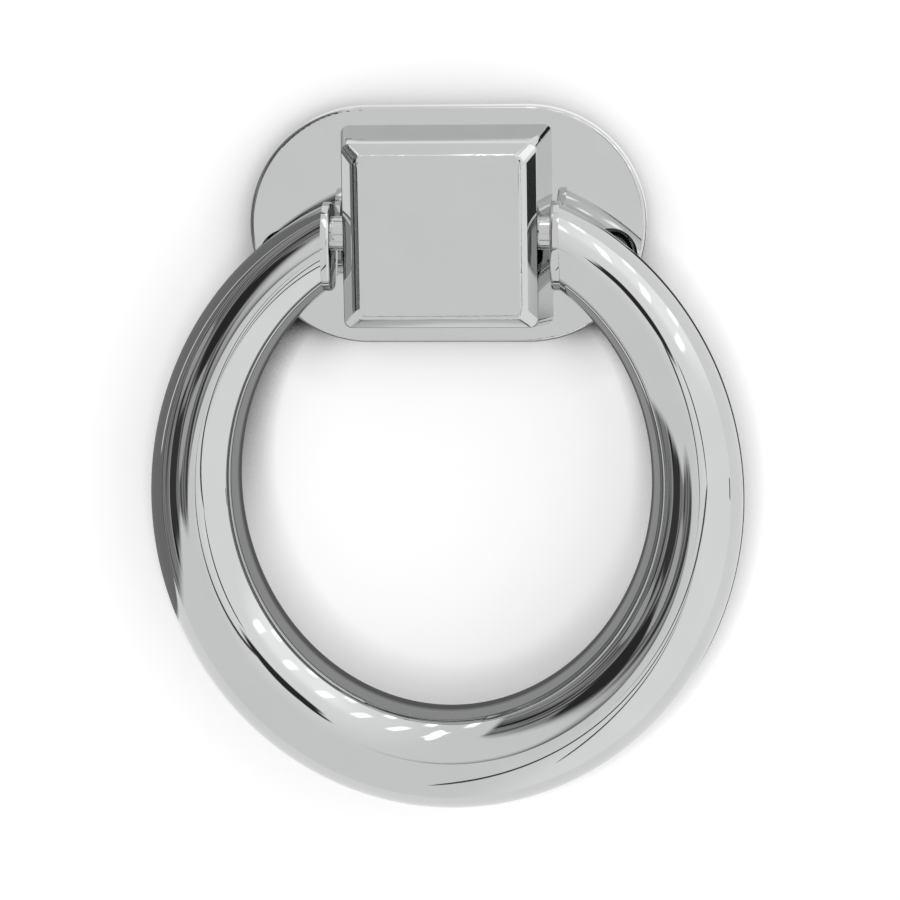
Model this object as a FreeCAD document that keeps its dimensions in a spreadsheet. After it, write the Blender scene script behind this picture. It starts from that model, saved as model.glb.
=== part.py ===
# Ring pull handle for a drawer or cabinet door, in chromed die-cast metal.
# An oblong backplate carries a bevelled hollow block, and an oval ring swings on two pins in the block's sides.
# Frame: origin in the middle of the plate's back face, +X right, +Y into the drawer front, +Z up.
# The handle's front faces -Y and its ring hangs towards -Z. Lengths are in millimetres, angles in degrees.
import FreeCAD, Part
import math
import os

import Sketcher
from FreeCAD import Placement, Rotation, Vector

SIZES = {
    # oblong backplate with round ends
    "plate_length": 53.6,
    "plate_height": 32.0,
    "plate_thickness": 3.0,
    "plate_edge_radius": 0.5,
    # holes for the screws that fix the handle to the drawer, near the plate's ends and below its middle
    "fixing_inset": 4.8,
    "fixing_drop": 4.1,
    "fixing_hole_dia": 5.0,
    "fixing_sink_dia": 7.1,
    # hollow block, measured at the plate, narrowing towards its bevelled front
    "block_width": 28.4,
    "block_height": 27.1,
    "block_draft": 6.6,
    "block_corner_radius": 1.1,
    "block_front_wall": 1.8,
    "block_side_wall": 3.9,
    "bevel_width": 1.7,
    "bevel_depth": 1.75,
    "bevel_corner_radius": 1.3,
    "bevel_outer_radius": 0.4,
    "bevel_inner_radius": 1.5,
    # pivot axis, in front of the plate's face, and the two shouldered pins
    "pivot_height": 8.0,
    "journal_dia": 4.6,
    "pin_head_dia": 5.8,
    "pin_head_thickness": 1.0,
    "spigot_dia": 3.0,
    "spigot_length": 3.4,
    # ring: oval centreline, and a round bar that thickens from its ends to the bottom, faster near the ends
    "ring_centre_width": 67.6,
    "ring_centre_height": 74.2,
    "ring_end_drop": 1.8,
    "bar_bottom_dia": 14.0,
    "bar_end_dia": 9.9,
    "bar_taper_power": 1.4,
    "collar_gap": 1.25,
    "collar_thickness": 1.2,
    "collar_rise": 0.25,
    "collar_edge_radius": 0.45,
    # two countersunk screws from behind, through the plate into bosses of the block
    "screw_spacing": 16.4,
    "screw_dia": 3.0,
    "screw_length": 9.0,
    "screw_head_dia": 5.6,
    "screw_tip_bevel": 0.4,
    "recess_width": 0.8,
    "recess_length": 3.0,
    "recess_depth": 1.1,
    "boss_dia": 6.6,
    "boss_hole_depth": 8.0,
    # fits
    "running_clearance": 0.05,
    "pressed_clearance": 0.01,
    "end_float": 0.3,
    "screw_clearance": 0.15,
    "screw_sink": 0.1,
    "thread_clearance": 0.02,
    "head_room": 0.3,
}

DERIVED = {
    "fixing_x": "Sizes.plate_length / 2 - Sizes.fixing_inset",
    # depths of the block, from the plate's face, and its outlines at the ridge and the front
    "pivot_depth": "Sizes.plate_thickness + Sizes.pivot_height",
    "cavity_depth": "Sizes.pivot_height + Sizes.pin_head_dia / 2 + Sizes.head_room",
    "block_depth": "cavity_depth + Sizes.block_front_wall",
    "ridge_depth": "block_depth - Sizes.bevel_depth",
    "ridge_width": "Sizes.block_width - 2 * ridge_depth * tan(Sizes.block_draft)",
    "ridge_height": "Sizes.block_height - 2 * ridge_depth * tan(Sizes.block_draft)",
    "face_width": "ridge_width - 2 * Sizes.bevel_width",
    "face_height": "ridge_height - 2 * Sizes.bevel_width",
    "cavity_width": "Sizes.block_width - 2 * Sizes.block_side_wall",
    "cavity_height": "Sizes.block_height - 2 * Sizes.block_side_wall",
    "bearing_dia": "Sizes.journal_dia + 2 * Sizes.running_clearance",
    # stations along the pivot axis, from the middle: the ring's end face, and where its bar begins
    "mouth": "Sizes.block_width / 2 - Sizes.pivot_height * tan(Sizes.block_draft) + Sizes.collar_gap",
    "bar_start": "mouth + Sizes.collar_thickness",
    "pin_shoulder": "cavity_width / 2 - Sizes.end_float",
    "pin_back": "pin_shoulder - Sizes.pin_head_thickness",
    "pin_tip": "mouth + Sizes.spigot_length",
    "pin_head_radius": "Sizes.pin_head_dia / 2",
    "journal_radius": "Sizes.journal_dia / 2",
    "spigot_radius": "Sizes.spigot_dia / 2",
    "socket_dia": "Sizes.spigot_dia + 2 * Sizes.pressed_clearance",
    "socket_depth": "Sizes.spigot_length + Sizes.head_room",
    # the ring's oval, its angle measured from the lowest point
    "oval_x": "Sizes.ring_centre_width / 2",
    "oval_z": "Sizes.ring_centre_height / 2",
    "end_cosine": "-sqrt(1 - (bar_start / oval_x)^2)",
    "end_slope": "oval_z * bar_start / oval_x / oval_x / end_cosine",
    "ring_drop": "Sizes.ring_end_drop - oval_z * end_cosine",
    "end_z": "-Sizes.ring_end_drop",
    "sweep_angle": "180 - asin((bar_start - Sizes.bar_end_dia / 2) / oval_x) / 1 deg",
    "collar_height": "Sizes.bar_end_dia * sqrt(1 + end_slope^2) + 2 * Sizes.collar_rise",
    "collar_depth": "Sizes.bar_end_dia + 2 * Sizes.collar_rise",
    # screws and their holes
    "screw_z": "Sizes.screw_spacing / 2",
    "screw_hole_dia": "Sizes.screw_dia + 2 * Sizes.screw_clearance",
    "screw_seat_dia": "Sizes.screw_head_dia + 2 * Sizes.screw_sink + 2 * Sizes.thread_clearance",
    "tapped_dia": "Sizes.screw_dia + 2 * Sizes.thread_clearance",
    "screw_radius": "Sizes.screw_dia / 2",
    "screw_head_radius": "Sizes.screw_head_dia / 2",
    "screw_head_height": "screw_head_radius - screw_radius",
    "screw_tip_radius": "screw_radius - Sizes.screw_tip_bevel",
    "screw_tip_start": "Sizes.screw_length - Sizes.screw_tip_bevel",
    "recess_side": "Sizes.recess_width / 2",
    "recess_end": "Sizes.recess_length / 2",
}

doc = FreeCAD.newDocument("RingPull")
sheet = doc.addObject("Spreadsheet::Sheet", "Sizes")
for row, (alias, value) in enumerate(SIZES.items(), start=1):
    sheet.set(f"A{row}", alias.replace("_", " "))
    sheet.set(f"B{row}", str(value))
    sheet.setAlias(f"B{row}", alias)
doc.recompute()

derived = doc.addObject("App::VarSet", "Derived")
for name, expression in DERIVED.items():
    derived.addProperty("App::PropertyFloat", name)
    derived.setExpression(name, expression)
doc.recompute()


def number(text):
    """Present value of a signed size such as "-Sizes.fixing_drop", or of a plain "0"."""
    if text == "0":
        return 0.0
    holder, name = text.lstrip("-").split(".")
    value = float(getattr(doc.getObject(holder), name))
    return -value if text.startswith("-") else value


def bind(item, **sizes):
    for prop, text in sizes.items():
        item.setExpression(prop, text)


def new_sketch(body, name, role, offset=None):
    """A sketch on one of the body's own origin planes, moved along its normal by a size."""
    sketch = body.newObject("Sketcher::SketchObject", name)
    plane = next(item for item in body.Origin.OriginFeatures if item.Role == role)
    sketch.AttachmentSupport = [(plane, "")]
    sketch.MapMode = "FlatFace"
    if offset:
        sketch.setExpression("AttachmentOffset.Base.z", offset)
    return sketch


def constrain(sketch, kind, *items):
    sketch.addConstraint(Sketcher.Constraint(kind, *items))


def dimension(sketch, name, text, kind, *items):
    """A driving dimension, tied to a size."""
    index = sketch.addConstraint(Sketcher.Constraint(kind, *items, number(text)))
    sketch.renameConstraint(index, name)
    sketch.setExpression("Constraints." + name, text)


def place(sketch, name, geometry, point, x, y):
    """Fixes a point of a sketch at two signed sizes from its origin."""
    for axis, text, kind, line in (("x", x, "DistanceX", -2), ("y", y, "DistanceY", -1)):
        if text == "0":
            constrain(sketch, "PointOnObject", geometry, point, line)
        else:
            dimension(sketch, f"{name}_{axis}", text, kind, -1, 1, geometry, point)


def arc(x, y, radius, start):
    """Half or quarter turns are drawn anticlockwise; start and the turn are in right angles."""
    first, turn = start
    circle = Part.Circle(Vector(x, y, 0), Vector(0, 0, 1), radius)
    return Part.ArcOfCircle(circle, first * math.pi / 2, (first + turn) * math.pi / 2)


def add_circle(sketch, name, x, y, diameter):
    shape = Part.Circle(Vector(number(x), number(y), 0), Vector(0, 0, 1), number(diameter) / 2)
    circle = sketch.addGeometry(shape)
    place(sketch, name, circle, 3, x, y)
    dimension(sketch, name + "_dia", diameter, "Diameter", circle)


def add_polygon(sketch, points):
    """A closed outline of straight lines through points given as pairs of signed sizes."""
    corners = [Vector(number(x), number(y), 0) for x, y in points]
    following = corners[1:] + corners[:1]
    lines = [sketch.addGeometry(Part.LineSegment(a, b)) for a, b in zip(corners, following)]
    for line, after in zip(lines, lines[1:] + lines[:1]):
        constrain(sketch, "Coincident", line, 2, after, 1)
    for index, (line, (x, y)) in enumerate(zip(lines, points)):
        place(sketch, f"corner{index}", line, 1, x, y)


def add_ring_of_arcs(sketch, arcs):
    """Arcs joined by straight sides that run on smoothly, as in a slot or a rounded rectangle."""
    corners = [sketch.addGeometry(item) for item in arcs]
    sides = []
    for index, item in enumerate(arcs):
        side = sketch.addGeometry(Part.LineSegment(arcs[index - 1].EndPoint, item.StartPoint))
        constrain(sketch, "Tangent", corners[index - 1], 2, side, 1)
        constrain(sketch, "Tangent", side, 2, corners[index], 1)
        sides.append(side)
    return corners, sides


def add_oblong(sketch, length, height):
    """A slot with round ends, centred on the origin."""
    radius = number(height) / 2
    reach = number(length) / 2 - radius
    ends, sides = add_ring_of_arcs(sketch, (arc(reach, 0, radius, (-1, 2)), arc(-reach, 0, radius, (1, 2))))
    constrain(sketch, "Horizontal", sides[0])
    constrain(sketch, "Symmetric", ends[0], 3, ends[1], 3, -1, 1)
    dimension(sketch, "height", height, "DistanceY", sides[0], 1, sides[1], 1)
    index = sketch.addConstraint(Sketcher.Constraint("DistanceX", ends[1], 3, ends[0], 3, 2 * reach))
    sketch.setExpression(f"Constraints[{index}]", f"{length} - {height}")


def add_rounded_rectangle(sketch, width, height, radius):
    """A rectangle with round corners, centred on the origin."""
    r = number(radius)
    x = number(width) / 2 - r
    y = number(height) / 2 - r
    quarters = (arc(x, -y, r, (-1, 1)), arc(x, y, r, (0, 1)), arc(-x, y, r, (1, 1)), arc(-x, -y, r, (2, 1)))
    corners, sides = add_ring_of_arcs(sketch, quarters)
    for corner in corners[1:]:
        constrain(sketch, "Equal", corners[0], corner)
    constrain(sketch, "Horizontal", sides[0])
    constrain(sketch, "Vertical", sides[1])
    constrain(sketch, "Symmetric", corners[0], 3, corners[2], 3, -1, 1)
    dimension(sketch, "corner_radius", radius, "Radius", corners[0])
    dimension(sketch, "width", width, "DistanceX", sides[3], 1, sides[1], 1)
    dimension(sketch, "height", height, "DistanceY", sides[0], 1, sides[2], 1)


def feature(body, kind, name, profile, **sizes):
    """A PartDesign feature on a sketch, with its sizes tied to the sheet."""
    item = body.newObject("PartDesign::" + kind, name)
    item.Profile = profile
    bind(item, **sizes)
    return item


def countersunk_holes(body, name, sketch, diameter, sink, from_behind=False):
    doc.recompute()
    holes = feature(body, "Hole", name, sketch)
    doc.recompute()
    holes.DepthType = "ThroughAll"
    holes.HoleCutType = "Countersink"
    holes.HoleCutCustomValues = True
    holes.HoleCutCountersinkAngle = 90
    holes.Reversed = from_behind
    bind(holes, Diameter=diameter, HoleCutDiameter=sink)
    doc.recompute()


def edges_across(item, axis, *stations):
    """Names of the edges that lie wholly in planes square to an axis ("X", "Y" or "Z")."""
    names = []
    for index, edge in enumerate(item.Shape.Edges, start=1):
        low = getattr(edge.BoundBox, axis + "Min")
        high = getattr(edge.BoundBox, axis + "Max")
        if any(abs(low - station) < 1e-3 and abs(high - station) < 1e-3 for station in stations):
            names.append(f"Edge{index}")
    return names


def round_edges(body, name, item, edges, radius):
    fillet = body.newObject("PartDesign::Fillet", name)
    fillet.Base = (item, edges)
    bind(fillet, Radius=radius)
    doc.recompute()
    return fillet


def mirror_across(body, name, items):
    """Copies features to the other side of the body's YZ plane."""
    copy = body.newObject("PartDesign::Mirrored", name)
    copy.Originals = items
    plane = next(item for item in body.Origin.OriginFeatures if item.Role == "YZ_Plane")
    copy.MirrorPlane = (plane, [""])
    body.Tip = copy
    doc.recompute()
    return copy


# Backplate: cast flat and polished, its front edge softened. The fixing screws pass through it from the front,
# and the block's own screws from behind.
backplate = doc.addObject("PartDesign::Body", "backplate")
plate_outline = new_sketch(backplate, "plate_outline", "XZ_Plane")
add_oblong(plate_outline, "Sizes.plate_length", "Sizes.plate_height")
plate_slab = feature(backplate, "Pad", "plate_slab", plate_outline, Length="Sizes.plate_thickness")
doc.recompute()
front_rim = edges_across(plate_slab, "Y", -number("Sizes.plate_thickness"))
round_edges(backplate, "plate_rim", plate_slab, front_rim, "Sizes.plate_edge_radius")

fixing_points = new_sketch(backplate, "fixing_points", "XZ_Plane", "Sizes.plate_thickness")
add_circle(fixing_points, "right", "Derived.fixing_x", "-Sizes.fixing_drop", "Sizes.fixing_hole_dia")
add_circle(fixing_points, "left", "-Derived.fixing_x", "-Sizes.fixing_drop", "Sizes.fixing_hole_dia")
countersunk_holes(backplate, "fixing_holes", fixing_points, "Sizes.fixing_hole_dia", "Sizes.fixing_sink_dia")

screw_points = new_sketch(backplate, "screw_points", "XZ_Plane")
add_circle(screw_points, "upper", "0", "Derived.screw_z", "Derived.screw_hole_dia")
add_circle(screw_points, "lower", "0", "-Derived.screw_z", "Derived.screw_hole_dia")
countersunk_holes(backplate, "screw_holes", screw_points, "Derived.screw_hole_dia", "Derived.screw_seat_dia", True)

# Block: a die-cast box with drafted sides and a bevelled front, hollow and open at the back. Its side walls are
# the ring's bearings, and two bosses inside take the screws that come through the plate.
mounting_block = doc.addObject("PartDesign::Body", "mounting_block")
block_foot = new_sketch(mounting_block, "block_foot", "XZ_Plane", "Sizes.plate_thickness")
add_rounded_rectangle(block_foot, "Sizes.block_width", "Sizes.block_height", "Sizes.block_corner_radius")
block_ridge = new_sketch(mounting_block, "block_ridge", "XZ_Plane", "Sizes.plate_thickness + Derived.ridge_depth")
add_rounded_rectangle(block_ridge, "Derived.ridge_width", "Derived.ridge_height", "Sizes.block_corner_radius")
block_face = new_sketch(mounting_block, "block_face", "XZ_Plane", "Sizes.plate_thickness + Derived.block_depth")
add_rounded_rectangle(block_face, "Derived.face_width", "Derived.face_height", "Sizes.bevel_corner_radius")
block_mass = feature(mounting_block, "AdditiveLoft", "block_mass", block_foot)
block_mass.Sections = [block_ridge, block_face]
block_mass.Ruled = True
doc.recompute()
front = -number("Sizes.plate_thickness") - number("Derived.block_depth")
face_edges = edges_across(block_mass, "Y", front)
bevel_inner = round_edges(mounting_block, "bevel_inner", block_mass, face_edges, "Sizes.bevel_inner_radius")
ridge_edges = edges_across(bevel_inner, "Y", front + number("Sizes.bevel_depth"))
round_edges(mounting_block, "bevel_outer", bevel_inner, ridge_edges, "Sizes.bevel_outer_radius")

block_core = new_sketch(mounting_block, "block_core", "XZ_Plane", "Sizes.plate_thickness")
add_rounded_rectangle(block_core, "Derived.cavity_width", "Derived.cavity_height", "Sizes.block_corner_radius")
block_cavity = feature(mounting_block, "Pocket", "block_cavity", block_core, Length="Derived.cavity_depth")
block_cavity.Reversed = True
boss_rounds = new_sketch(mounting_block, "boss_rounds", "XZ_Plane", "Sizes.plate_thickness")
add_circle(boss_rounds, "upper", "0", "Derived.screw_z", "Sizes.boss_dia")
add_circle(boss_rounds, "lower", "0", "-Derived.screw_z", "Sizes.boss_dia")
feature(mounting_block, "Pad", "bosses", boss_rounds, Length="Derived.cavity_depth")
tapped_rounds = new_sketch(mounting_block, "tapped_rounds", "XZ_Plane", "Sizes.plate_thickness")
add_circle(tapped_rounds, "upper", "0", "Derived.screw_z", "Derived.tapped_dia")
add_circle(tapped_rounds, "lower", "0", "-Derived.screw_z", "Derived.tapped_dia")
tapped_holes = feature(mounting_block, "Pocket", "tapped_holes", tapped_rounds, Length="Sizes.boss_hole_depth")
tapped_holes.Reversed = True
bearing_round = new_sketch(mounting_block, "bearing_round", "YZ_Plane")
add_circle(bearing_round, "bearing", "-Derived.pivot_depth", "0", "Derived.bearing_dia")
bearings = feature(mounting_block, "Pocket", "bearings", bearing_round, Length="Sizes.block_width")
bearings.SideType = "Symmetric"
doc.recompute()

# Block screws: two countersunk machine screws with cross recesses, put in from behind the plate.
# Each is turned about its own axis, with the head's face at its origin.
upper_screw = doc.addObject("PartDesign::Body", "upper_screw")
screw_half = new_sketch(upper_screw, "screw_half", "XZ_Plane")
add_polygon(screw_half, (
    ("0", "0"),
    ("Derived.screw_head_radius", "0"),
    ("Derived.screw_radius", "Derived.screw_head_height"),
    ("Derived.screw_radius", "Derived.screw_tip_start"),
    ("Derived.screw_tip_radius", "Sizes.screw_length"),
    ("0", "Sizes.screw_length"),
))
screw_turned = feature(upper_screw, "Revolution", "screw_turned", screw_half)
screw_turned.ReferenceAxis = (screw_half, ["V_Axis"])
screw_turned.Angle = 360
cross = new_sketch(upper_screw, "cross", "XY_Plane")
side = "Derived.recess_side"
end = "Derived.recess_end"
add_polygon(cross, (
    (end, "-" + side), (end, side), (side, side), (side, end), ("-" + side, end), ("-" + side, side),
    ("-" + end, side), ("-" + end, "-" + side), ("-" + side, "-" + side), ("-" + side, "-" + end),
    (side, "-" + end), (side, "-" + side),
))
cross_recess = feature(upper_screw, "Pocket", "cross_recess", cross, Length="Sizes.recess_depth")
cross_recess.Reversed = True
upper_screw.Placement = Placement(Vector(), Rotation(Vector(1, 0, 0), 90))
bind(upper_screw, **{"Placement.Base.y": "-Sizes.screw_sink", "Placement.Base.z": "Derived.screw_z"})
doc.recompute()
lower_screw = doc.addObject("Part::Mirroring", "lower_screw")
lower_screw.Source = upper_screw
lower_screw.Normal = Vector(0, 0, 1)
block_screws = doc.addObject("Part::Compound", "block_screws")
block_screws.Links = [upper_screw, lower_screw]
doc.recompute()

# Ring: cast as one oval bar, thickest at the bottom, ending square beside the block with a raised collar round
# each end face. A blind hole in each end takes a pin.
ring_path = doc.addObject("Part::Feature", "ring_path")
reach = math.radians(number("Derived.sweep_angle"))
ends = [Vector(turn * math.sin(reach), 0, -math.cos(reach)) for turn in (-1, 1)]
stretch = FreeCAD.Matrix()
stretch.scale(number("Derived.oval_x"), 1, number("Derived.oval_z"))
ring_path.Shape = Part.Arc(ends[0], Vector(0, 0, -1), ends[1]).toShape().transformGeometry(stretch)
ring_path.Placement = Placement(
    Vector(0, -number("Derived.pivot_depth"), -number("Derived.ring_drop")), Rotation())

STATIONS_EACH_SIDE = 7
bar_sections = []
for station in range(-STATIONS_EACH_SIDE, STATIONS_EACH_SIDE + 1):
    angle = f"(Derived.sweep_angle * {station} / {STATIONS_EACH_SIDE})"
    section = doc.addObject("Part::Circle", "bar_section")
    section.Placement = Placement(Vector(), Rotation(Vector(0, 1, 0), 45))
    bind(section, **{
        "Radius": "Sizes.bar_bottom_dia / 2 - (Sizes.bar_bottom_dia - Sizes.bar_end_dia) / 2"
                  f" * ((1 - cos({angle})) / (1 - Derived.end_cosine)) ^ Sizes.bar_taper_power",
        "Placement.Base.x": f"Derived.oval_x * sin({angle})",
        "Placement.Base.y": "-Derived.pivot_depth",
        "Placement.Base.z": f"-Derived.ring_drop - Derived.oval_z * cos({angle})",
        "Placement.Rotation.Angle":
            f"90 deg - atan2(Derived.oval_z * sin({angle}); Derived.oval_x * cos({angle}))",
    })
    bar_sections.append(section)
ring_bar = doc.addObject("Part::Sweep", "ring_bar")
ring_bar.Sections = bar_sections
ring_bar.Spine = (ring_path, ["Edge1"])
ring_bar.Solid = True
doc.recompute()

ring = doc.addObject("PartDesign::Body", "ring")
ring.BaseFeature = ring_bar
doc.recompute()
opening = new_sketch(ring, "opening", "XZ_Plane")
add_polygon(opening, (
    ("-Derived.bar_start", "-Derived.ring_drop"), ("Derived.bar_start", "-Derived.ring_drop"),
    ("Derived.bar_start", "Sizes.bar_end_dia"), ("-Derived.bar_start", "Sizes.bar_end_dia"),
))
end_faces = feature(ring, "Pocket", "end_faces", opening, Length="4 * Derived.pivot_depth")
end_faces.SideType = "Symmetric"
doc.recompute()
collar_outline = new_sketch(ring, "collar_outline", "YZ_Plane", "Derived.mouth")
middle = Vector(-number("Derived.pivot_depth"), number("Derived.end_z"), 0)
top = middle + Vector(0, number("Derived.collar_height") / 2, 0)
flank = middle + Vector(-number("Derived.collar_depth") / 2, 0, 0)
oval = collar_outline.addGeometry(Part.Ellipse(top, flank, middle))
collar_outline.exposeInternalGeometry(oval)
constrain(collar_outline, "Vertical", oval + 1)
place(collar_outline, "middle", oval, 3, "-Derived.pivot_depth", "Derived.end_z")
dimension(collar_outline, "height", "Derived.collar_height", "Distance", oval + 1)
dimension(collar_outline, "depth", "Derived.collar_depth", "Distance", oval + 2)
collar = feature(ring, "Pad", "collar", collar_outline, Length="Sizes.collar_thickness")
doc.recompute()
collars = mirror_across(ring, "collars", [collar])
mouth = number("Derived.mouth")
collar_rims = round_edges(
    ring, "collar_rims", collars, edges_across(collars, "X", -mouth, mouth), "Sizes.collar_edge_radius")
socket_round = new_sketch(ring, "socket_round", "YZ_Plane", "Derived.mouth")
add_circle(socket_round, "socket", "-Derived.pivot_depth", "0", "Derived.socket_dia")
socket = feature(ring, "Pocket", "socket", socket_round, Length="Derived.socket_depth")
socket.Reversed = True
doc.recompute()
mirror_across(ring, "sockets", [socket])

# Pivot pins: turned, each with a head inside the block, a journal that runs in the side wall, and a spigot pressed
# into the ring's end. The left pin is the right one's mirror image.
pivot_pin_right = doc.addObject("PartDesign::Body", "pivot_pin_right")
pin_half = new_sketch(pivot_pin_right, "pin_half", "XZ_Plane", "Derived.pivot_depth")
add_polygon(pin_half, (
    ("Derived.pin_back", "0"),
    ("Derived.pin_tip", "0"),
    ("Derived.pin_tip", "Derived.spigot_radius"),
    ("Derived.mouth", "Derived.spigot_radius"),
    ("Derived.mouth", "Derived.journal_radius"),
    ("Derived.pin_shoulder", "Derived.journal_radius"),
    ("Derived.pin_shoulder", "Derived.pin_head_radius"),
    ("Derived.pin_back", "Derived.pin_head_radius"),
))
pin_turned = feature(pivot_pin_right, "Revolution", "pin_turned", pin_half)
pin_turned.ReferenceAxis = (pin_half, ["H_Axis"])
pin_turned.Angle = 360
doc.recompute()
pivot_pin_left = doc.addObject("Part::Mirroring", "pivot_pin_left")
pivot_pin_left.Source = pivot_pin_right
pivot_pin_left.Normal = Vector(1, 0, 0)
doc.recompute()

for item in doc.Objects:
    if "Invalid" in item.State or "Error" in item.State:
        raise RuntimeError(f"{item.Label} did not build: {item.getStatusString()}")
os.makedirs("parts", exist_ok=True)
solids = {
    backplate: 1,
    mounting_block: 1,
    block_screws: 2,
    ring: 1,
    pivot_pin_left: 1,
    pivot_pin_right: 1,
}
for piece, count in solids.items():
    shape = piece.Shape
    if shape.isNull() or not shape.isValid() or len(shape.Solids) != count:
        raise RuntimeError(f"{piece.Label} is not {count} sound solid(s)")
    shape.exportStep(f"parts/{piece.Label}.step")
    box = shape.optimalBoundingBox()
    print(f"{piece.Label}: {shape.Volume:.1f} mm3, x {box.XMin:.2f} to {box.XMax:.2f},"
          f" y {box.YMin:.2f} to {box.YMax:.2f}, z {box.ZMin:.2f} to {box.ZMax:.2f}")
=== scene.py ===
import math

import bpy
from mathutils import Matrix, Vector


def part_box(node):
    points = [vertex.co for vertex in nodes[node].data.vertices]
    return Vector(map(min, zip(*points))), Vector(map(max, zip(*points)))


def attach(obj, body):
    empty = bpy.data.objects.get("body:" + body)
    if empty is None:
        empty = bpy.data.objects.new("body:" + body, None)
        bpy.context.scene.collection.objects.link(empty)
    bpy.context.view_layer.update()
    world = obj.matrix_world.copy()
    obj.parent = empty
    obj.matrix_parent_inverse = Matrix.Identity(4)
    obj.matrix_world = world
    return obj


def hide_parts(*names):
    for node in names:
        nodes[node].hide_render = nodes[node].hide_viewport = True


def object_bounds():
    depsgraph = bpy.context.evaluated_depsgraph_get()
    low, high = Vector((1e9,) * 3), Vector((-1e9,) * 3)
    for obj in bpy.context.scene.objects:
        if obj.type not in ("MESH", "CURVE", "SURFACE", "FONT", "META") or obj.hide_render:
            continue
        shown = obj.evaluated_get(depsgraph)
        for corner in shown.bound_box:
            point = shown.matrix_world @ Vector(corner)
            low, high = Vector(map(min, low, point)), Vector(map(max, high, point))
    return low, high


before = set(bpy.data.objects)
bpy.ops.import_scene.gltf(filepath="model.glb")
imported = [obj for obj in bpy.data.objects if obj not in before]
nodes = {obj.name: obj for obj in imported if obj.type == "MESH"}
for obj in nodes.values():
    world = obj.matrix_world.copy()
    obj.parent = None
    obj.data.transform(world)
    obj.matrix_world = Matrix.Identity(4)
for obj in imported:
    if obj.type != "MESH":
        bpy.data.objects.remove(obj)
cad_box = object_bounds()


# Backplate: an oblong plate with round ends, cast in zinc, ground flat, polished and chromed. It lies on the
# drawer front, and its two countersunk holes take the screws that hold the handle.
class Wire:
    """One output of a shader node, or a bare node tree. Sums on a wire add Math nodes to its tree."""

    def __init__(self, tree, socket=None):
        self.tree = tree
        self.socket = socket

    def node(self, kind, settings, sockets, output=0):
        """Adds any other node: its settings first, then the values or wires of its sockets."""
        made = self.tree.nodes.new("ShaderNode" + kind)
        for name, value in settings.items():
            setattr(made, name, value)
        for name, value in sockets.items():
            if isinstance(value, Wire):
                self.tree.links.new(value.socket, made.inputs[name])
            else:
                made.inputs[name].default_value = value
        return Wire(self.tree, made.outputs[output] if made.outputs else None)

    def math(self, operation, *values):
        return self.node("Math", {"operation": operation}, dict(enumerate(values)))

    def __add__(self, other):
        return self.math("ADD", self, other)

    def __radd__(self, other):
        return self.math("ADD", other, self)

    def __sub__(self, other):
        return self.math("SUBTRACT", self, other)

    def __rsub__(self, other):
        return self.math("SUBTRACT", other, self)

    def __mul__(self, other):
        return self.math("MULTIPLY", self, other)

    def __rmul__(self, other):
        return self.math("MULTIPLY", other, self)

    def __truediv__(self, other):
        return self.math("DIVIDE", self, other)

    def __rtruediv__(self, other):
        return self.math("DIVIDE", other, self)

    def rise(self, low, high):
        """0 below low, 1 above high, and a smooth rise between."""
        sockets = {"Value": self, "From Min": low, "From Max": high}
        return self.node("MapRange", {"interpolation_type": "SMOOTHSTEP"}, sockets)


def new_material(name):
    """An empty material, and the start of its wiring."""
    material = bpy.data.materials.new(name)
    material.use_nodes = True
    material.node_tree.nodes.clear()
    return material, Wire(material.node_tree)


CHROME_TINT = (0.62, 0.627, 0.625)
# The dark colour painted into chrome as painted shade and painted reflection.
PAINTED_DARK_SHADE = (0.05, 0.05, 0.05, 1)


def polished_chrome(name, tint, gloss, haze, ripple, painted_dark=None):
    """Chrome over polished casting: cloudy haze in the gloss, and the faint ripple that buffing leaves. Where
    the optional mask marks, from 0 to 1, the colour is painted dark: painted shade and painted reflection."""
    material, start = new_material(name)
    place = start.node("TexCoord", {}, {}, "Object")
    cloud = start.node("TexNoise", {}, {"Vector": place, "Scale": 160.0, "Detail": 3.0})
    buffing = start.node("TexNoise", {}, {"Vector": place, "Scale": 420.0, "Detail": 2.0})
    grain = start.node("TexNoise", {}, {"Vector": place, "Scale": 5200.0, "Detail": 1.0})
    shade = start.node("Mix", {"data_type": "RGBA"}, {
        "Factor": cloud.rise(0.3, 0.7),
        6: tuple(0.985 * part for part in tint) + (1,),
        7: tuple(1.012 * part for part in tint) + (1,),
    }, 2)
    if painted_dark:
        shade = start.node("Mix", {"data_type": "RGBA"}, {
            "Factor": painted_dark(start, place), 6: shade, 7: PAINTED_DARK_SHADE}, 2)
    bump = start.node("Bump", {}, {"Strength": 1.0, "Distance": ripple, "Height": buffing})
    shader = start.node("BsdfPrincipled", {}, {
        "Base Color": shade,
        "Metallic": 1.0,
        "Roughness": gloss + haze * (0.7 * cloud + 0.3 * grain),
        "Normal": bump,
    })
    start.node("OutputMaterial", {}, {"Surface": shader})
    return material


HOLE_X, HOLE_Z, HOLE_RADIUS, SINK_RADIUS = 0.022, -0.0041, 0.0025, 0.00355
SINK_BACK = -0.0018


def painted_hole_shade(start, place):
    """Painted dark round the rim of each countersunk hole, a painted reflection, and down inside it, a painted
    shade.
    """
    off_x = start.math("ABSOLUTE", start.node("SeparateXYZ", {}, {"Vector": place}, "X")) - HOLE_X
    off_z = start.node("SeparateXYZ", {}, {"Vector": place}, "Z") - HOLE_Z
    radius = start.math("SQRT", off_x * off_x + off_z * off_z)
    depth = start.node("SeparateXYZ", {}, {"Vector": place}, "Y")
    in_front = 1 - depth.rise(SINK_BACK - 0.0001, SINK_BACK + 0.0001)
    rim = radius.rise(SINK_RADIUS - 0.0005, SINK_RADIUS - 0.0002) * in_front
    rim = rim * (1 - radius.rise(SINK_RADIUS, SINK_RADIUS + 0.0001))
    bore = 1 - radius.rise(HOLE_RADIUS, HOLE_RADIUS + 0.00006)
    return start.math("MAXIMUM", 0.95 * rim, 0.8 * bore)


# The plate's hole rims and bores are painted dark: painted reflection on the rims, painted shade in the bores.
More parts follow.
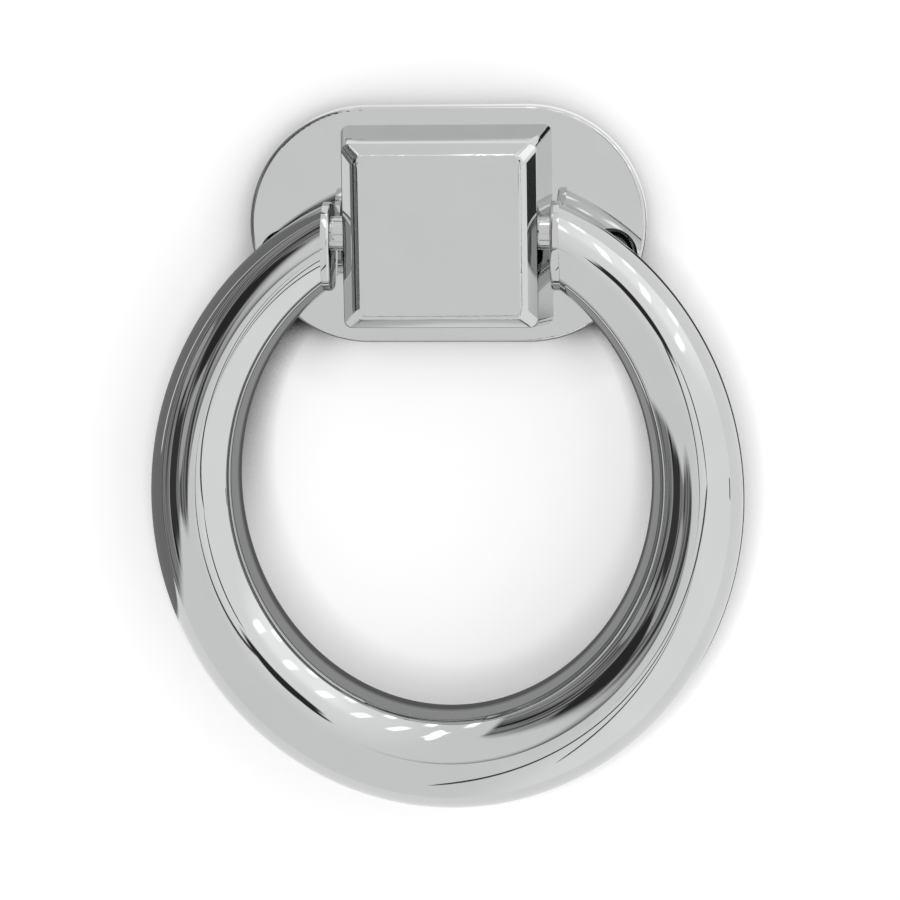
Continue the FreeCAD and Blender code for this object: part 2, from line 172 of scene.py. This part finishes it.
nodes["backplate"].material_slots[0].material = polished_chrome(
    "plate_chrome", CHROME_TINT, gloss=0.02, haze=0.04, ripple=6e-7, painted_dark=painted_hole_shade)

# Mounting block: a hollow die-cast box with drafted sides and a bevelled front, polished and chromed. Two
# screws through the plate pull it down, and its side walls carry the ring's pins.
nodes["mounting_block"].material_slots[0].material = polished_chrome(
    "block_chrome", CHROME_TINT, gloss=0.02, haze=0.04, ripple=6e-7)

# Block screws: two countersunk machine screws of zinc-plated steel with cross recesses, put in from behind the
# plate and sunk below its back.
steel, start = new_material("screw_steel")
place = start.node("TexCoord", {}, {}, "Object")
turning = start.node("TexNoise", {}, {"Vector": place, "Scale": 900.0, "Detail": 4.0})
shade = start.node("Mix", {"data_type": "RGBA"}, {
    "Factor": turning, 6: (0.50, 0.50, 0.48, 1), 7: (0.68, 0.68, 0.66, 1)}, 2)
shader = start.node("BsdfPrincipled", {}, {
    "Base Color": shade,
    "Metallic": 1.0,
    "Roughness": 0.22 + 0.2 * turning,
    "Normal": start.node("Bump", {}, {"Distance": 4e-6, "Height": turning}),
})
start.node("OutputMaterial", {}, {"Surface": shader})
nodes["block_screws"].material_slots[0].material = steel

# Ring: one oval casting of round bar, thickest at the bottom, that ends square beside the block with a raised
# collar round each end and a blind hole for its pin. It is polished to a mirror and chromed.
OVAL_WIDTH, OVAL_HEIGHT = 0.0676, 0.0742
BAR_BOTTOM, BAR_END, BAR_TAPER_POWER = 0.0140, 0.0099, 1.4
END_FACE, END_DROP = 0.014524, 0.0018
COLLAR_THICKNESS, COLLAR_RISE, COLLAR_ROUND = 0.0012, 0.00025, 0.00045
SOCKET_RADIUS, SOCKET_DEPTH = 0.00151, 0.0037
AROUND, ALONG, COLLAR_STEPS, HALVINGS = 96, 320, 6, 40
ring_low, ring_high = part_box("ring")
bar_y = (ring_low.y + ring_high.y) / 2
bar_start = END_FACE + COLLAR_THICKNESS
oval_x, oval_z = OVAL_WIDTH / 2, OVAL_HEIGHT / 2
end_cosine = -math.sqrt(1 - (bar_start / oval_x) ** 2)
end_slope = oval_z * bar_start / oval_x ** 2 / end_cosine
oval_drop = END_DROP - oval_z * end_cosine


def bar_point(turn, roll):
    """A point on the bar's skin: turn goes round the oval from its lowest point, roll round the bar."""
    centre = Vector((oval_x * math.sin(turn), bar_y, -oval_drop - oval_z * math.cos(turn)))
    ahead = Vector((oval_x * math.cos(turn), 0, oval_z * math.sin(turn))).normalized()
    thinning = ((1 - math.cos(turn)) / (1 - end_cosine)) ** BAR_TAPER_POWER
    radius = (BAR_BOTTOM - (BAR_BOTTOM - BAR_END) * thinning) / 2
    return centre + radius * Vector((math.cos(roll) * ahead.z, math.sin(roll), -math.cos(roll) * ahead.x))


def end_turn(roll):
    """Where a line along the bar meets its square end, found by halving."""
    low, high = math.pi / 2, 0.97 * math.pi
    for _ in range(HALVINGS):
        middle = (low + high) / 2
        low, high = (middle, high) if bar_point(middle, roll).x > bar_start else (low, middle)
    return low


def end_loop(x, z, height, depth):
    """An upright oval loop at the ring's left end."""
    return [Vector((-x, bar_y + depth * math.sin(roll), z + height * math.cos(roll))) for roll in rolls]


rolls = [2 * math.pi * step / AROUND for step in range(AROUND)]
turns = [end_turn(roll) for roll in rolls]
collar_height = BAR_END / 2 * math.hypot(1, end_slope) + COLLAR_RISE
collar_depth = BAR_END / 2 + COLLAR_RISE
left_end = [end_loop(END_FACE + SOCKET_DEPTH, 0, SOCKET_RADIUS, SOCKET_RADIUS),
            end_loop(END_FACE, 0, SOCKET_RADIUS, SOCKET_RADIUS)]
for step in range(COLLAR_STEPS + 1):
    angle = math.radians(90) * step / COLLAR_STEPS
    inset, back = COLLAR_ROUND * (1 - math.sin(angle)), COLLAR_ROUND * (1 - math.cos(angle))
    left_end.append(end_loop(END_FACE + back, -END_DROP, collar_height - inset, collar_depth - inset))
left_end.append(end_loop(bar_start, -END_DROP, collar_height, collar_depth))
bar = [[bar_point(turn * (2 * step / ALONG - 1), roll) for turn, roll in zip(turns, rolls)]
       for step in range(ALONG + 1)]
right_end = [[Vector((-point.x, point.y, point.z)) for point in loop] for loop in reversed(left_end)]
loops = left_end + bar + right_end
faces = [tuple(reversed(range(AROUND))), tuple((len(loops) - 1) * AROUND + step for step in range(AROUND))]
for near in range(0, (len(loops) - 1) * AROUND, AROUND):
    for step in range(AROUND):
        after = (step + 1) % AROUND
        faces.append((near + step, near + after, near + AROUND + after, near + AROUND + step))
ring_mesh = bpy.data.meshes.new("ring_bar")
ring_mesh.from_pydata([point for loop in loops for point in loop], [], faces)
ring_mesh.shade_smooth()
ring_mesh.set_sharp_from_angle(angle=math.radians(35))
ring_mesh.materials.append(polished_chrome(
    "ring_chrome", CHROME_TINT, gloss=0.015, haze=0.03, ripple=1.2e-6))
ring = bpy.data.objects.new("ring_bar", ring_mesh)
bpy.context.scene.collection.objects.link(ring)
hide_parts("ring")
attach(ring, "swinging_ring")

# Pivot pins: turned steel, chromed, each with a journal that runs in the block's wall and a spigot pressed into
# the ring's end.
PIN_TINT = (0.60, 0.606, 0.60)
pin_chrome = polished_chrome("pin_chrome", PIN_TINT, gloss=0.05, haze=0.06, ripple=6e-7)
for pin in ("pivot_pin_left", "pivot_pin_right"):
    nodes[pin].material_slots[0].material = pin_chrome

# Wall: the white board that the handle hangs on, just behind the plate. It keeps the handle's soft shadow,
# which is real occlusion deepened by place, partly a painted shadow, and from behind it can be seen through. In
# the metal's
# reflections it shows painted shade: dull inside the ring and at its left, and dark at its right rim.
WALL_REACH, WALL_GAP = 0.6, 0.0002
WALL_WHITE, WALL_GLOW = 0.95, 0.36
SHADOW_REACH = 0.0085
CLEAR_WITHIN = 0.0026
wall_y = cad_box[1].y + WALL_GAP
wall_mesh = bpy.data.meshes.new("wall")
wall_corners = [(x * WALL_REACH, wall_y, z * WALL_REACH) for x, z in ((-1, -1), (1, -1), (1, 1), (-1, 1))]
wall_mesh.from_pydata(wall_corners, [], [(0, 1, 2, 3)])
wall = bpy.data.objects.new("wall", wall_mesh)
bpy.context.scene.collection.objects.link(wall)


def laid_over(below, mask, shade):
    """The shade below, with another laid over it where the mask is 1."""
    return below + mask * (shade - below)


board, start = new_material("white_board")
position = start.node("NewGeometry", {}, {}, "Position")
behind = start.node("NewGeometry", {}, {}, "Backfacing")
mirrored = start.node("LightPath", {}, {}, "Is Glossy Ray")
ray_length = start.node("LightPath", {}, {}, "Ray Length")
x = start.node("SeparateXYZ", {}, {"Vector": position}, "X")
z = start.node("SeparateXYZ", {}, {"Vector": position}, "Z")
across = x / ring_high.x
along = (z + oval_drop) / (oval_z + BAR_BOTTOM / 2)
outline = across * across + along * along
# Painted shade, seen only in the metal's reflections: dull inside the ring, darker at its left, dark at its
# right rim.
inside = (1 - outline.rise(0.5, 0.62)) * (0.60 + 0.27 * outline.rise(0.12, 0.3))
gap = x.rise(-0.128, -0.124) * (1 - x.rise(-0.104, -0.100)) * z.rise(-0.034, -0.030)
at_left = outline.rise(0.5, 0.62) * (1 - x.rise(-0.03, -0.02)) * (z - 0.4 * x).rise(-0.041, -0.039) * (1 - gap)
rim = outline.rise(0.9, 0.95) * (1 - outline.rise(1.24, 1.32)) * x.rise(0.01, 0.02) * z.rise(-0.066, -0.058)
reflected_painted_shade = WALL_WHITE * (1 - inside) * (1 - 0.78 * at_left) * (1 - 0.95 * rim)
covered = 1 - start.node("AmbientOcclusion", {"samples": 8}, {"Distance": SHADOW_REACH}, "AO")
# The shadow's strength is painted by place: deeper beside the ring's upper arms, weaker lower inside, and
# stronger just outside the ring lower down.
within = 0.52 + 2.4 * start.math("ABSOLUTE", across).rise(0.3, 0.62) * z.rise(-0.048, -0.012)
depth = laid_over(within, outline.rise(0.6, 0.9), 0.75 - 12 * z)
sheltered = start.math("MAXIMUM", 1 - depth * covered, 0.0)
paint = start.node("BsdfPrincipled", {}, {
    "Base Color": WALL_WHITE * sheltered * (1 - mirrored),
    "Roughness": 1.0,
    "Specular IOR Level": 0.0,
    "Emission Color": laid_over(WALL_GLOW * sheltered * sheltered, mirrored, reflected_painted_shade),
    "Emission Strength": 1.0,
})
clear = start.node("BsdfTransparent", {}, {"Color": (1, 1, 1, 1)})
open_back = start.math("MAXIMUM", behind, start.math("LESS_THAN", ray_length, CLEAR_WITHIN))
seen = start.node("MixShader", {}, {0: open_back, 1: paint, 2: clear})
start.node("OutputMaterial", {}, {"Surface": seen})
wall_mesh.materials.append(board)

# Camera: a long lens, a little to the right of the handle and above it, slightly tilted.
CAMERA_AT = Vector((0.044883, -0.497284, 0.062953))
CAMERA_TOWARDS = Vector((0.000355, -0.008, -0.02988))
CAMERA_ROLL = -0.0153
LENS_MM, SENSOR_MM = 148.28, 36
camera_data = bpy.data.cameras.new("camera")
camera_data.sensor_width = SENSOR_MM
camera_data.lens = LENS_MM
camera_data.clip_start = 0.01
camera = bpy.data.objects.new("camera", camera_data)
bpy.context.scene.collection.objects.link(camera)
ahead = (CAMERA_TOWARDS - CAMERA_AT).normalized()
level = ahead.cross(Vector((0, 0, 1))).normalized()
above = level.cross(ahead)
turned = math.cos(CAMERA_ROLL) * level + math.sin(CAMERA_ROLL) * above
camera.matrix_world = Matrix.Translation(CAMERA_AT) @ Matrix(
    (turned, turned.cross(ahead), -ahead)).transposed().to_4x4()
bpy.context.scene.camera = camera
bpy.context.scene.view_settings.view_transform = "Standard"

# Light: a white tent all round the handle, with a dark opening at its left, the dark camera and its stand, and
# two rows of small lamps above and at the right. Places in it are degrees away from the camera's line and
# degrees round that line, from straight up towards the left, or degrees right of that line and above it.
TENT_SHADE, TENT_RISE = 0.87, 0.16
OPENING_PATCHES = (
    ((75, 43), (19, 13), 0.03), ((102, 61), (11, 9), 0.05),
    ((103, 41), (9, 6), 0.5), ((78, 73), (8, 7), 0.45))
CAMERA_SHADE = 0.03
CAMERA_PARTS = (((13, 2), (5.5, 8)), ((7.5, 3), (3, 2.2)))
STAND_RODS = (
    ((13, -3), (-2, -20), 1.6, 0.06), ((21, -2), (19, -17), 2.4, 0.05), ((20, -17), (-4, -26.5), 1.8, 0.08),
    ((8, -23), (-13, -66), 2.6, 0.06), ((9.3, -27), (11, -63), 2.0, 0.08))
LAMP_SHADE, LAMP_SPACING, LAMPS_IN_ROW = 2.2, 15.5, 6
LAMP_ROWS = ((-72, 0.3, 44, 59), (-60.5, 0.18, 72, 97))
world = bpy.data.worlds.new("light_tent")
world.use_nodes = True
world.node_tree.nodes.clear()
bpy.context.scene.world = world
start = Wire(world.node_tree)
direction = start.node("TexCoord", {}, {}, "Generated")
to_camera, to_right, upwards = (
    start.node("VectorMath", {"operation": "DOT_PRODUCT"}, {0: direction, 1: way}, "Value")
    for way in (-ahead, level, above))
away = start.math("ARCCOSINE", to_camera) * math.degrees(1)
bearing = start.math("ARCTAN2", -1.0 * to_right, upwards) * math.degrees(1)
side = start.math("SQRT", to_right * to_right + upwards * upwards) + 1e-6
right = away * to_right / side
up = away * upwards / side


def between(value, low, high, soft):
    """1 from low to high, with soft edges."""
    return value.rise(low - soft, low + soft) * (1 - value.rise(high - soft, high + soft))


def spot(first, second, centre, reach, soft=0.3):
    """1 inside an oval of two measures, given its centre and how far it reaches from there in each."""
    off_first, off_second = (first - centre[0]) / reach[0], (second - centre[1]) / reach[1]
    return 1 - (off_first * off_first + off_second * off_second).rise(1 - soft, 1 + soft)


def stroke(first_end, last_end, width):
    """1 along a thin straight line between two places right of and above the camera's line."""
    run, climb = last_end[0] - first_end[0], last_end[1] - first_end[1]
    length = math.hypot(run, climb)
    cos, sin = run / length, climb / length
    off_right, off_up = right - (first_end[0] + run / 2), up - (first_end[1] + climb / 2)
    lengthwise, sideways = cos * off_right + sin * off_up, cos * off_up - sin * off_right
    return spot(lengthwise, sideways, (0, 0), (length / 2, width / 2))


tent = TENT_SHADE + TENT_RISE * right.rise(-12, 20)
opening = between(bearing - start.math("MAXIMUM", 45 - away, 0.0), 26, 115, 2.0)
opening = opening * (away + 0.25 * bearing).rise(45, 57)
streaks = start.node("TexNoise", {"noise_dimensions": "2D"}, {
    "Vector": start.node("CombineXYZ", {}, {"X": away / 3.0, "Y": bearing / 70.0}),
    "Scale": 1.0,
    "Detail": 3.0,
})
dark = 0.02 + 0.42 * streaks.rise(0.3, 0.75)
for centre, reach, shade in OPENING_PATCHES:
    dark = laid_over(dark, spot(bearing, away, centre, reach), shade)
tent = laid_over(tent, opening, dark)
for centre, reach in CAMERA_PARTS:
    tent = laid_over(tent, spot(right, up, centre, reach), CAMERA_SHADE)
for first_end, last_end, width, shade in STAND_RODS:
    tent = laid_over(tent, stroke(first_end, last_end, width), shade)
screen = between(bearing, -101, -96.8, 0.3) * between(away, 82.8, 85.6, 0.3)
tent = laid_over(tent, screen, CAMERA_SHADE)
tent = tent + 0.22 * between(bearing, -76, -30, 10) * between(away, 42, 100, 10)
for first_lamp, lean, nearest, farthest in LAMP_ROWS:
    place = (bearing - first_lamp - lean * (away - (nearest + farthest) / 2)) / LAMP_SPACING
    from_lamp = start.math("ABSOLUTE", place - start.math("ROUND", place))
    in_row = between(place, -0.4, LAMPS_IN_ROW - 0.6, 0.05) * between(away, nearest, farthest, 4.0)
    tent = laid_over(tent, (1 - from_lamp.rise(0.06, 0.18)) * in_row, LAMP_SHADE)
tent = laid_over(tent, spot(bearing, away, (5.5, 51), (2.6, 13)), LAMP_SHADE)

shown = start.node("LightPath", {}, {}, "Is Camera Ray")
backdrop = start.node("Background", {}, {"Color": laid_over(tent, shown, 1.0)})
start.node("OutputWorld", {}, {"Surface": backdrop})
